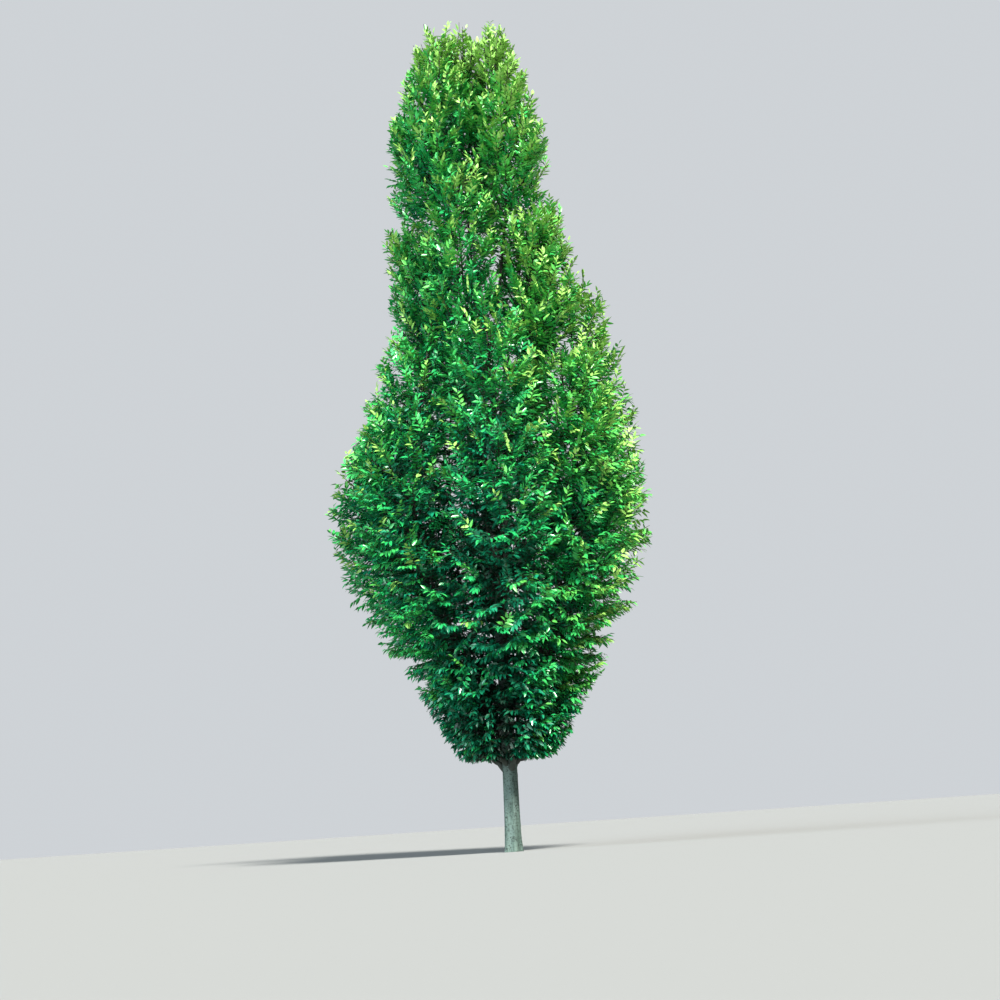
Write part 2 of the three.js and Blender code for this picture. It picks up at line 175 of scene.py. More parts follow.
# The trunk's middle line: half a sine wave sideways, and straight above it.
def trunkMiddle(z):
    z = np.asarray(z, float)
    share = np.minimum(1.0, 2 * trunk["leanCycles"] * np.minimum(z, trunkTop) / trunkTop)
    return np.stack([trunk["lean"] * np.sin(np.pi * share), np.zeros_like(z), z], axis=-1)


# The trunk's plain radius: a straight taper to the fork, then a power of the share of the way to the tip.
def trunkRadius(z):
    fork = trunk["forkHeight"] * tree["height"]
    low = blendOf(trunk["footRadius"], trunk["forkRadius"], np.clip(z / fork, 0, 1))
    share = np.clip((z - fork) / (trunkTop - fork), 0, 1)
    high = blendOf(trunk["forkRadius"], trunk["tipRadius"], share ** trunk["taperPower"])
    return np.where(z < fork, low, high)


# A smooth path through places: on each stretch a cubic whose slopes are half the step across its neighbours.
def pathPoint(places, share):
    ends = np.vstack([2 * places[0] - places[1], places, 2 * places[-1] - places[-2]])
    stretches = len(places) - 1
    at = np.clip(np.asarray(share, float) * stretches, 0, stretches - 1e-9)
    i = at.astype(int)
    w = (at - i)[..., None]
    a, b, c, d = ends[i], ends[i + 1], ends[i + 2], ends[i + 3]
    return 0.5 * (2 * b + (c - a) * w + (2 * a - 5 * b + 4 * c - d) * w**2 + (3 * b - a - 3 * c + d) * w**3)


# A place on a plume's stem, which is the second half of its limb's path.
def stemPoint(plume, share):
    return pathPoint(plume["places"], 0.5 + 0.5 * np.asarray(share, float))


# A limb's five places: foot, elbow, entry to the plume, belly and tip, turned round the trunk.
def makePlume(ring, k, index):
    scatter = tree["turnScatter"] * (2 * chance(index, 1, 0) - 1)
    turn = np.radians(ring["turn"] + 360 * k / ring["count"] + scatter)
    bellyReach, tipReach = [1 + share * np.cos(turn) for share in ring["sunReach"]]
    height = 1 + tree["heightScatter"] * (2 * chance(index, 2, 0) - 1) + ring["sunRise"] * np.cos(turn)
    height += ring["stagger"] * (1 if k % 2 == 0 else -1)

    def place(out, rise, taller=1, wider=1):
        z = rise * tree["height"] * taller
        distance = out * tree["halfSpread"] * wider
        at = trunkMiddle(min(z, trunkTop))
        return np.array([at[0] + np.cos(turn) * distance, at[1] + np.sin(turn) * distance, z])

    footUp = 0.5 * ring["entry"][1]
    if ring["foot"]:
        footUp = ring["foot"] + ring["footStep"] * ((k * 3) % ring["count"])
    places = np.array([
        place(0, footUp),
        place(ring["elbowOut"], (footUp + ring["entry"][1]) / 2),
        place(*ring["entry"]),
        place(*ring["belly"], 1, bellyReach),
        place(*ring["tip"], height, tipReach),
    ])
    name = ring["name"] + ("_" + str(k + 1) if ring["count"] > 1 else "")
    return {"name": name, "ring": ring, "index": index, "turn": turn, "places": places, "end": 1.0}


# A plume's balls: middles along the stem, radii that fall with the square of the way from the widest place.
def ballsOf(plume):
    t = np.linspace(0, 1, plumeShape["balls"])
    widest = plumeShape["widest"]
    edge = np.where(t < widest, plume["ring"]["footShare"], plumeShape["tip"])
    away = np.where(t < widest, 1 - t / widest, (t - widest) / (1 - widest))
    radii = plume["ring"]["girth"] * tree["halfSpread"] * (1 - (1 - edge) * away**2)
    return stemPoint(plume, t), radii


plumes = []
for ring in rings:
    plumes += [makePlume(ring, k, len(plumes) + k) for k in range(ring["count"])]
balls = [ballsOf(plume) for plume in plumes]
ballMiddles = np.array([middles for middles, radii in balls])
ballRadii = np.array([radii for middles, radii in balls])
flatMiddles = ballMiddles.reshape(-1, 3)
flatRadii = ballRadii.reshape(-1)


# For one ring, the radius round the trunk at each height that is kept for the trunk and for the boughs of the
# rings above: the furthest that any of them reaches there.
def hollowOf(order):
    z = np.arange(0, tree["height"] + 2 * tree["hollowStep"], tree["hollowStep"])
    hollow = trunkRadius(z) + tree["limbClear"]
    middle = trunkMiddle(z)
    share = np.linspace(0, 1, tree["hollowSamples"])
    above = [r["name"] for r in rings[order + 1:-1]]
    for plume in (p for p in plumes if p["ring"]["name"] in above):
        at = pathPoint(plume["places"], 0.5 * share)
        radius = blendOf(plume["ring"]["limbRadius"], plume["ring"]["entryRadius"], share)
        near = np.abs(z[:, None] - at[None, :, 2]) <= tree["hollowBand"] + radius
        out = np.hypot(at[None, :, 0] - middle[:, None, 0], at[None, :, 1] - middle[:, None, 1])
        hollow = np.maximum(hollow, np.where(near, out + radius + tree["limbClear"], 0).max(axis=1))
    return np.where(z >= trunkTop - tree["hollowStep"], 0, hollow)


hollows = np.array([hollowOf(order) for order in range(len(rings))])
ringOf = np.array([[r["name"] for r in rings].index(plume["ring"]["name"]) for plume in plumes])


# The squares of the distances from points to the middles of all balls.
def squaresOf(points):
    return np.sum(points**2, axis=1)[:, None] + np.sum(flatMiddles**2, axis=1) - 2 * points @ flatMiddles.T


# How far points lie from each plume's nearest ball, as squares less the square of its radius: below 0 inside.
def powersOf(points):
    powers = (squaresOf(points) - flatRadii**2).reshape(len(points), len(plumes), -1)
    return powers.min(axis=2), powers.argmin(axis=2)


# True where a point is the owner plume's: inside its balls, nearer to it than to any other by the margin,
# clear of the limbs inside the crown, and between the crown's foot and the tree's top. A fringe widens the
# balls.
def inSpace(points, owner, margin=0.015, fringe=0.0):
    good = (points[:, 2] >= tree["crownFoot"] * tree["height"]) & (points[:, 2] <= tree["height"])
    middle = trunkMiddle(points[:, 2])
    row = np.clip(np.rint(points[:, 2] / tree["hollowStep"]).astype(int), 0, hollows.shape[1] - 1)
    good &= np.hypot(points[:, 0] - middle[:, 0], points[:, 1] - middle[:, 1]) >= hollows[ringOf[owner], row]
    powers, nearest = powersOf(points)
    rows = np.arange(len(points))
    mine = powers[rows, owner]
    myBall = nearest[rows, owner]
    good &= mine <= fringe * (fringe + 2 * ballRadii[owner, myBall])
    home = ballMiddles[owner, myBall]
    theirs = ballMiddles[np.arange(len(plumes))[None, :], nearest]
    apart = np.linalg.norm(theirs - home[:, None, :], axis=2)
    clear = powers - mine[:, None] > 2 * margin * apart
    clear[rows, owner] = True
    return good & clear.all(axis=1)


# How far each plume's space goes from a point in a direction, in even steps.
def reachOf(starts, directions, owner, most, step=0.015, margin=0.015, fringe=0.0):
    reach = np.zeros(len(starts))
    going = np.arange(len(starts))
    while len(going):
        ahead = starts[going] + directions[going] * (reach[going] + step)[:, None]
        going = going[(reach[going] + step <= most[going]) & inSpace(ahead, owner[going], margin, fringe)]
        reach[going] += step
    return reach


for plume in plumes:
    owner = np.array([plume["index"]])
    while plume["end"] > tree["shortestStem"] and not inSpace(stemPoint(plume, [plume["end"]]), owner)[0]:
        plume["end"] -= tree["stemStep"]
print("crown shared out among", len(plumes), "plumes")


# A mesh object from whole arrays: points, and faces in one array for each number of corners.
def makePiece(name, points, faceGroups, materials, finishes=None):
    corners = np.concatenate([group.reshape(-1) for group in faceGroups])
    counts = np.concatenate([np.full(len(group), group.shape[1]) for group in faceGroups])
    starts = np.concatenate([[0], np.cumsum(counts)[:-1]])
    mesh = bpy.data.meshes.new(name)
    mesh.vertices.add(len(points))
    mesh.vertices.foreach_set("co", points.astype(np.float32).reshape(-1))
    mesh.loops.add(len(corners))
    mesh.loops.foreach_set("vertex_index", corners.astype(np.int32))
    mesh.polygons.add(len(counts))
    mesh.polygons.foreach_set("loop_start", starts.astype(np.int32))
    for material in materials:
        mesh.materials.append(material)
    if finishes is not None:
        mesh.polygons.foreach_set("material_index", finishes.astype(np.int32))
    mesh.polygons.foreach_set("use_smooth", np.ones(len(counts), bool))
    mesh.update(calc_edges=True)
    piece = bpy.data.objects.new(name, mesh)
    bpy.context.scene.collection.objects.link(piece)
    return piece


# The faces over rings of points, tube after tube: walls of four corners, and a flat cap at each end.
def tubeFaces(count, steps, sides):
    index = np.arange(count * steps * sides).reshape(count, steps, sides)
    after = np.roll(index, -1, axis=2)
    walls = np.stack([index[:, :-1], after[:, :-1], after[:, 1:], index[:, 1:]], axis=-1).reshape(-1, 4)
    caps = np.concatenate([index[:, 0, ::-1], index[:, -1]])
    return [walls, caps]


# Tubes along many paths at once: a ring of points at each path point, square to the path.
def tubeMesh(paths, radii, sides):
    count, steps = radii.shape
    along = unit(np.gradient(paths, axis=1))
    level = np.cross(upward, along)
    lost = np.linalg.norm(level, axis=-1, keepdims=True) < nearlyUpright
    across = unit(np.where(lost, squareTo(np.array([1.0, 0.0, 0.0]), along), level))
    over = np.cross(along, across)
    angle = 2 * np.pi * np.arange(sides) / sides
    circle = across[:, :, None] * np.cos(angle)[:, None] + over[:, :, None] * np.sin(angle)[:, None]
    points = paths[:, :, None] + radii[:, :, None, None] * circle
    return points.reshape(-1, 3), tubeFaces(count, steps, sides)


# Several meshes' arrays put end to end, each with the number of its finish.
def joined(parts):
    points, groups, finishes, first = [], {}, {}, 0
    for partPoints, partGroups, finish in parts:
        points.append(partPoints)
        for group in partGroups:
            corners = group.shape[1]
            groups.setdefault(corners, []).append(group + first)
            finishes.setdefault(corners, []).append(np.full(len(group), finish))
        first += len(partPoints)
    whole = [np.concatenate(groups[corners]) for corners in groups]
    numbers = [np.concatenate(finishes[corners]) for corners in groups]
    return np.concatenate(points), whole, np.concatenate(numbers)


# One node of a material, with its settings. An input takes a value, or a link where it is given a socket, and
# is named, or numbered after "in".
def addNode(nodeTree, kind, settings=None, **inputs):
    node = nodeTree.nodes.new(kind)
    for key, value in (settings or {}).items():
        setattr(node, key, value)
    for key, value in inputs.items():
        socket = node.inputs[int(key[2:])] if key.startswith("in") and key[2:].isdigit() else node.inputs[key]
        if isinstance(value, bpy.types.NodeSocket):
            nodeTree.links.new(value, socket)
        else:
            socket.default_value = value
    return node


barkPattern = {
    "streakStretch": 0.16,  # streaks run up the limb, so their pattern is squeezed along Z
    "patches": {"Scale": 4.2, "Detail": 4.0, "Roughness": 0.6},
    "streaks": {"Scale": 30.0, "Detail": 5.0, "Roughness": 0.62, "Distortion": 0.4},
    "specks": {"Scale": 85.0, "Detail": 2.0, "Roughness": 0.5},
    "grain": {"Scale": 260.0, "Detail": 3.0, "Roughness": 0.7},
    "streakRange": (0.42, 0.66),  # of the noise, from where a mask starts to where it is full
    "speckRange": (0.53, 0.63),
    "mossRange": (0.4, 0.7),
    "darkRange": (0.72, 0.3),
    "darkShare": 0.4,
    "speckColour": (0.02, 0.03, 0.026, 1.0),
    "roughRange": (-0.6, 1.1),
    "grainHeight": 0.3,
    "streakHeight": 0.7,
    "bumpDepth": 0.002,
}


# The bark's pattern, used for trunk and boughs: streaks up the limb over broad patches, dark specks and a
# fine grain, each from a noise at its own scale.
def makeBarkGroup():
    group = bpy.data.node_groups.new("barkPattern", "ShaderNodeTree")
    sockets = group.interface
    for name in ("Pale", "Dark", "Moss"):
        sockets.new_socket(name, in_out="INPUT", socket_type="NodeSocketColor")
    for name in ("Streaks", "Specks", "Moss Amount", "Scale"):
        sockets.new_socket(name, in_out="INPUT", socket_type="NodeSocketFloat")
    for name, kind in (("Color", "Color"), ("Roughness", "Float"), ("Height", "Float")):
        sockets.new_socket(name, in_out="OUTPUT", socket_type="NodeSocket" + kind)
    given = group.nodes.new("NodeGroupInput")
    place = addNode(group, "ShaderNodeTexCoord").outputs["Object"]
    scale = given.outputs["Scale"]
    scaling = addNode(group, "ShaderNodeVectorMath", {"operation": "SCALE"}, Vector=place, Scale=scale)
    scaled = scaling.outputs[0]
    squeeze = (1.0, 1.0, barkPattern["streakStretch"])
    squeezing = addNode(group, "ShaderNodeVectorMath", {"operation": "MULTIPLY"}, in0=scaled, in1=squeeze)
    stretched = squeezing.outputs[0]

    def noise(vector, name):
        return addNode(group, "ShaderNodeTexNoise", Vector=vector, **barkPattern[name]).outputs["Fac"]

    patches, specks = noise(scaled, "patches"), noise(scaled, "specks")
    streaks, grain = noise(stretched, "streaks"), noise(stretched, "grain")

    def spread(value, low, high):
        return addNode(group, "ShaderNodeMapRange", Value=value, in1=low, in2=high).outputs[0]

    def times(a, b):
        return addNode(group, "ShaderNodeMath", {"operation": "MULTIPLY"}, in0=a, in1=b).outputs[0]

    def mixed(factor, a, b):
        return addNode(group, "ShaderNodeMix", {"data_type": "RGBA"}, Factor=factor, in6=a, in7=b).outputs[2]

    streakMask = times(spread(streaks, *barkPattern["streakRange"]), given.outputs["Streaks"])
    speckMask = times(spread(specks, *barkPattern["speckRange"]), given.outputs["Specks"])
    mossMask = times(spread(patches, *barkPattern["mossRange"]), given.outputs["Moss Amount"])
    darkened = times(spread(patches, *barkPattern["darkRange"]), barkPattern["darkShare"])
    base = mixed(darkened, given.outputs["Pale"], given.outputs["Dark"])
    streaked = mixed(streakMask, base, given.outputs["Dark"])
    mossy = mixed(mossMask, streaked, given.outputs["Moss"])
    specked = mixed(speckMask, mossy, barkPattern["speckColour"])
    rough = spread(streaks, *barkPattern["roughRange"])
    fine = times(grain, barkPattern["grainHeight"])
    share = barkPattern["streakHeight"]
    deep = addNode(group, "ShaderNodeMath", {"operation": "MULTIPLY_ADD"}, in0=streaks, in1=share, in2=fine)
    result = group.nodes.new("NodeGroupOutput")
    group.links.new(specked, result.inputs["Color"])
    group.links.new(rough, result.inputs["Roughness"])
    group.links.new(deep.outputs[0], result.inputs["Height"])
    return group


barkGroup = makeBarkGroup()


# A bark finish: the shared pattern with its own colours, and a bump from the pattern's height.
def barkMaterial(name, finish):
    material = bpy.data.materials.new(name)
    material.use_nodes = True
    nodeTree = material.node_tree
    shader = nodeTree.nodes["Principled BSDF"]
    pattern = nodeTree.nodes.new("ShaderNodeGroup")
    pattern.node_tree = barkGroup
    for key, value in finish["pattern"].items():
        pattern.inputs[key].default_value = value
    relief = {"Strength": finish["bump"], "Distance": barkPattern["bumpDepth"]}
    bump = addNode(nodeTree, "ShaderNodeBump", Height=pattern.outputs["Height"], **relief)
    nodeTree.links.new(pattern.outputs["Color"], shader.inputs["Base Color"])
    nodeTree.links.new(pattern.outputs["Roughness"], shader.inputs["Roughness"])
    nodeTree.links.new(bump.outputs["Normal"], shader.inputs["Normal"])
    shader.inputs["Specular IOR Level"].default_value = finish["specular"]
    return material


trunkBark = {
    "pattern": {
        "Pale": (0.11, 0.158, 0.142, 1.0),
        "Dark": (0.03, 0.055, 0.045, 1.0),
        "Moss": (0.08, 0.125, 0.095, 1.0),
        "Streaks": 0.8,
        "Specks": 1.0,
        "Moss Amount": 0.45,
        "Scale": 1.0,
    },
    "bump": 0.8,
    "specular": 0.25,
}
# The boughs' bark: the trunk's pattern in far darker colours, painted shade of the crown over them.
shadedBoughBark = {
    "pattern": {
        "Pale": (0.045, 0.056, 0.046, 1.0),
        "Dark": (0.016, 0.02, 0.016, 1.0),
        "Moss": (0.028, 0.04, 0.024, 1.0),
        "Streaks": 0.8,
        "Specks": 0.7,
        "Moss Amount": 0.4,
        "Scale": 1.6,
    },
    "bump": 0.5,
    "specular": 0.3,
}
trunkFinish = barkMaterial("trunk bark", trunkBark)
shadedBoughFinish = barkMaterial("shaded bough bark", shadedBoughBark)


waveStrengths = (0.6, 1.0)


# Waves that close round a limb: a sum of cosines of whole multiples of the angle that drift with height, each
# with a start and a strength of its own.
def closedWaves(angle, height, layer, index=0):
    dealt = np.random.default_rng(layer["seed"] + index)
    drift, waves = layer["drift"], layer["waves"]
    total = np.zeros(np.broadcast(angle, height).shape)
    for wave in waves:
        phase, slope = dealt.uniform(0, 2 * np.pi), dealt.uniform(-drift, drift)
        total += np.cos(wave * angle + slope * height + phase) * dealt.uniform(*waveStrengths)
    return total / np.sqrt(len(waves))


trunkPiece = {
    "sides": 144,
    "closeRings": 270,  # over the bare stem
    "farRings": 130,  # inside the crown
    "closeHeight": 0.85,
    "sinew": {"height": 0.0021, "waves": (3, 4, 6, 7, 9), "drift": 5.0, "seed": 11},
    "ridge": {"height": 0.0007, "waves": (17, 23, 29, 34, 41), "drift": 16.0, "seed": 12},
    "ridgeFade": 0.4,  # ridges fade and come back on their way up
    "ridgeBeat": 21.0,  # radians for each metre
    "ridgeSway": 4.0,
    "wrinkle": {"height": 0.0004, "waves": (4, 6), "drift": 30.0, "seed": 14},
    "wrinkleBeat": 240.0,  # radians for each metre
    "swerve": {"height": 2.5, "waves": (2, 3, 5), "drift": 9.0, "seed": 13},  # radians, of wrinkles
    "knots": 9,
    "knotSeed": 15,
    "knotSize": 0.011,
    "knotHeight": 0.0035,
    "knotSpan": (0.1, 0.78),  # the heights that knots are dealt between
    "knotStretch": 0.8,  # knots are a little taller than wide
    "dimple": 0.75,  # of a knot's height, that its middle sinks
    "dimpleNarrow": 2.4,
}


# The trunk: a ring of radii at each height, from the solid's own radius, flare and flutes, with sinews that
# run up it, fine ridges, level wrinkles, and round knots where shoots were shed.
def makeTrunk():
    close = np.linspace(0, trunkPiece["closeHeight"], trunkPiece["closeRings"])
    far = np.linspace(trunkPiece["closeHeight"], trunkTop, trunkPiece["farRings"])[1:]
    z = np.concatenate([close, far])[:, None]
    angle = 2 * np.pi * np.arange(trunkPiece["sides"])[None, :] / trunkPiece["sides"]
    lobe = np.cos(trunk["flutes"] * angle + z / trunk["fluteTurnHeight"])
    flare = trunk["flare"] * np.exp(-z / trunk["flareHeight"])
    plain = trunkRadius(z)
    radius = plain * (1 + trunk["fluteDepth"] * lobe) + flare * (1 + trunk["flareFluteDepth"] * lobe)
    sinew = closedWaves(angle, z, trunkPiece["sinew"])
    beat = np.cos(trunkPiece["ridgeBeat"] * z + trunkPiece["ridgeSway"] * sinew)
    fading = 1 - trunkPiece["ridgeFade"] + trunkPiece["ridgeFade"] * beat
    ridge = closedWaves(angle, z, trunkPiece["ridge"]) * fading
    swerve = trunkPiece["swerve"]["height"] * closedWaves(angle, z, trunkPiece["swerve"])
    wrinkle = np.cos(trunkPiece["wrinkleBeat"] * z + swerve) * closedWaves(angle, z, trunkPiece["wrinkle"])
    layers = {"sinew": sinew, "ridge": ridge, "wrinkle": wrinkle}
    relief = sum(trunkPiece[name]["height"] * layer for name, layer in layers.items())
    relief = relief * (plain / trunk["footRadius"])
    dealt = np.random.default_rng(trunkPiece["knotSeed"])
    heights = dealt.uniform(*trunkPiece["knotSpan"], trunkPiece["knots"])
    turns = dealt.uniform(0, 2 * np.pi, trunkPiece["knots"])
    for height, turn in zip(heights, turns):
        around = (angle - turn + np.pi) % (2 * np.pi) - np.pi
        away = np.hypot(around * plain, (z - height) * trunkPiece["knotStretch"]) / trunkPiece["knotSize"]
        dimple = np.exp(-((trunkPiece["dimpleNarrow"] * away) ** 2))
        knot = np.exp(-(away**2)) - trunkPiece["dimple"] * dimple
        relief = relief + trunkPiece["knotHeight"] * knot
    radius = radius + relief
    middle = trunkMiddle(z[:, 0])
    points = np.stack([
        middle[:, 0:1] + radius * np.cos(angle),
        middle[:, 1:2] + radius * np.sin(angle),
        np.broadcast_to(z, radius.shape),
    ], axis=-1)
    piece = makePiece("trunkBark", points.reshape(-1, 3), tubeFaces(1, *radius.shape), [trunkFinish])
    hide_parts("trunk")
    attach(piece, "root")


makeTrunk()
print("trunk made")

boughPiece = {
    "sides": 18,
    "rings": 64,
    "sunk": 0.35,  # of the trunk's radius, that a bough starts inside it
    "collar": 0.55,  # of its own radius, that it swells where it leaves the trunk
    "collarLength": 0.07,
    "sinew": {"height": 0.05, "waves": (2, 3, 4), "drift": 9.0, "seed": 31},  # heights as shares of it
    "ridge": {"height": 0.02, "waves": (5, 6, 7), "drift": 60.0, "seed": 61},
}


# The boughs: a ring of radii along each limb's path up to its plume, swollen at the trunk, with shallow
# sinews.
def makeBoughs():
    parts, nodes = [], []
    for plume in plumes[:-1]:
        share = np.linspace(0, 1, boughPiece["rings"])
        path = pathPoint(plume["places"], 0.5 * share)
        length = np.concatenate([[0], np.cumsum(np.linalg.norm(np.diff(path, axis=0), axis=1))])
        radius = blendOf(plume["ring"]["limbRadius"], plume["ring"]["entryRadius"], share)
        out = np.hypot(path[:, 0] - trunkMiddle(path[:, 2])[:, 0], path[:, 1])
        inside = out < trunkRadius(path[:, 2]) * (1 - boughPiece["sunk"])
        keep = ~inside
        keep[np.argmax(keep) - 1] = True
        leaving = length - length[np.argmax(out > trunkRadius(path[:, 2]))]
        swelling = boughPiece["collar"] * np.exp(-np.maximum(leaving, 0) / boughPiece["collarLength"])
        radius = radius * (1 + swelling)
        path, radius, length = path[keep], radius[keep], length[keep]
        points, groups = tubeMesh(path[None], radius[None], boughPiece["sides"])
        angle = 2 * np.pi * np.arange(boughPiece["sides"])[None, :] / boughPiece["sides"]
        along = length[:, None]
        sinew = boughPiece["sinew"]["height"] * closedWaves(angle, along, boughPiece["sinew"], plume["index"])
        ridge = boughPiece["ridge"]["height"] * closedWaves(angle, along, boughPiece["ridge"], plume["index"])
        rows = points.reshape(len(radius), boughPiece["sides"], 3)
        rows = path[:, None] + (rows - path[:, None]) * (1 + sinew + ridge)[..., None]
        parts.append((rows.reshape(-1, 3), groups, 0))
        nodes.append("bough_" + plume["name"])
    points, groups, finishes = joined(parts)
    piece = makePiece("shadedBoughBark", points, groups, [shadedBoughFinish], finishes)
    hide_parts(*nodes)
    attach(piece, "root")


makeBoughs()
print("boughs made")

# A ramp here is a slope, a start and two limits: a straight rise with height, held between them.
twigRule = {
    "finer": 6,  # twigs here for each twig of the solids
    "from": 0.05,
    "to": 0.93,
    "fan": 120.0,
    "leaderFan": 180.0,  # the leader has no side that faces away from the trunk, so its twigs go all round
    "crowding": 1.3,  # power that crowds the twigs of the lowest plumes towards their feet
    "goldenShare": 0.618034,
    "lowClimb": 12.0,
    "highClimb": 60.0,
    "climbScatter": 10.0,
    "footDroop": 50.0,
    "droopLength": 0.36,
    "leastReach": 0.13,
    "footRadius": 0.0065,
    "tipRadius": 0.0018,
    "taperPower": 0.7,
    "steps": 7,
    "sides": 4,
    "sag": 0.07,  # how far a twig bows between its ends, as a share of its length
    "sagRamp": (3.2, 0.7, -0.8, 1.2),  # twigs bow upwards low in the crown, and downwards higher up
    "sagScatter": 0.5,
    "margin": 0.006,  # from the spaces of other plumes
    "leafRoom": 0.035,  # left beyond the wood for the last leaf
    "fringe": 0.005,  # how far twigs and shoots may stand out of the solids' balls
    "spurShare": 0.16,  # of the twigs reach further, as spurs
    "spurReach": 0.06,
    "topReach": 0.1,  # how much further the highest twigs grow
    "topRamp": (12.0, 10.4, 0, 1),
}
shootRule = {
    "first": 0.10,  # along the twig to its first shoot
    "gap": 0.042,
    "most": 18,
    "angle": 43.0,
    "angleScatter": 9.0,
    "longest": 0.27,
    "shorten": 0.55,
    "least": 0.05,
    "footRadius": 0.0021,
    "tipRadius": 0.0009,
    "steps": 3,
    "sides": 3,
    "sag": 0.05,
    "sagRamp": (3.0, 0.8, -0.9, 1.0),
    "sagScatter": 0.6,
    "margin": -0.004,  # shoots may cross a little into the next plume's space
    "last": 0.93,  # the share of the twig past which it has no more shoots
    "planeUp": 0.8,
    "planeOut": 0.5,
    "planeScatter": 0.4,
    "rise": 0.4,
    "drop": 0.12,
    "scatter": 0.12,
    "lengths": (0.6, 1.12),  # of the longest at its place, that a shoot's length is dealt between
    "youngShare": 0.26,  # of the shoots near a twig's end, that are young growth
    "youngRamp": (2.4, 0.2, 0.1, 1.2),
    "youngFrom": 0.4,
    "youngRise": 0.75,  # how far young shoots turn up
    "youngSag": -0.3,
}


# A ramp's value at a height: its slope times the height, less its start, held between its limits.
def rampAt(high, ramp):
    slope, start, least, most = ramp
    return np.clip(slope * high - start, least, most)


# How far twigs or shoots bow, as a share of their length: a ramp with height, and a scatter.
def sagOf(rule, high):
    bow = rampAt(high, rule["sagRamp"])
    return rule["sag"] * (bow + rule["sagScatter"] * dice.normal(size=len(high)))


# The twigs of every plume: they fan out by the golden share on the side away from the trunk, or all round on
# the leader, climb more steeply towards the tree's top, and reach to the edge of their plume's space.
def growTwigs():
    owner, starts, directions, places = [], [], [], []
    for plume in plumes:
        count = plume["ring"]["twigs"] * twigRule["finer"]
        n = np.arange(count)
        crowding = blendOf(twigRule["crowding"], 1.0, min(1.0, 2 * plume["ring"]["entry"][1]))
        t = plume["end"] * blendOf(twigRule["from"], twigRule["to"], ((n + 0.5) / count) ** crowding)
        start = stemPoint(plume, t)
        spot = (n * twigRule["goldenShare"] + chance(plume["index"], 3, 0)) % 1
        fan = twigRule["fan"] if plume["ring"]["foot"] else twigRule["leaderFan"]
        turn = plume["turn"] + np.radians(fan * (2 * spot - 1))
        climb = blendOf(twigRule["lowClimb"], twigRule["highClimb"], start[:, 2] / tree["height"])
        climb = climb + twigRule["climbScatter"] * (2 * chance(plume["index"], n, 5) - 1)
        climb = np.radians(climb - twigRule["footDroop"] * np.maximum(0, 1 - t / twigRule["droopLength"]))
        level = np.cos(climb)
        direction = np.stack([np.cos(turn) * level, np.sin(turn) * level, np.sin(climb)], axis=-1)
        owner.append(np.full(count, plume["index"]))
        starts.append(start)
        directions.append(direction)
        places.append(t / plume["end"])
    owner, starts = np.concatenate(owner), np.concatenate(starts)
    directions, places = np.concatenate(directions), np.concatenate(places)
    most = np.full(len(owner), 2 * tree["halfSpread"])
    reach = reachOf(starts, directions, owner, most, margin=twigRule["margin"], fringe=twigRule["fringe"])
    spur = dice.random(len(owner)) < twigRule["spurShare"]
    high = starts[:, 2] / tree["height"]
    length = reach - twigRule["leafRoom"] + np.where(spur, twigRule["spurReach"] * dice.random(len(owner)), 0)
    length = length + twigRule["topReach"] * rampAt(high, twigRule["topRamp"]) * dice.random(len(owner))
    keep = reach > twigRule["leastReach"]
    sag = sagOf(twigRule, high)
    grown = {
        "owner": owner, "start": starts, "direction": directions,
        "length": length, "sag": sag, "place": places,
    }
    return {key: value[keep] for key, value in grown.items()}


# Points along bowed twigs: the straight line, let down in its middle by a parabola.
def alongTwig(twigs, share):
    bow = squareTo(upward, twigs["direction"])[:, None] * (4 * twigs["sag"] * twigs["length"])[:, None, None]
    distance = twigs["length"][:, None] * share
    line = twigs["start"][:, None] + twigs["direction"][:, None] * distance[..., None]
    return line - bow * (share * (1 - share))[..., None]


# The slopes there, at length 1.
def slopeTwig(twigs, share):
    bow = squareTo(upward, twigs["direction"])[:, None] * (4 * twigs["sag"])[:, None, None]
    return unit(twigs["direction"][:, None] - bow * (1 - 2 * share)[..., None])


# The way out from the crown's middle line, for the side that leaves show their faces to.
def outwardAt(points):
    middle = trunkMiddle(points[..., 2])
    flat = points - middle
    flat[..., 2] = 0
    return unit(flat)


# How deep points are in the crown: the most that any ball holds them below its skin.
def depthIn(points):
    return (flatRadii - np.sqrt(np.maximum(squaresOf(points), 0))).max(axis=1)


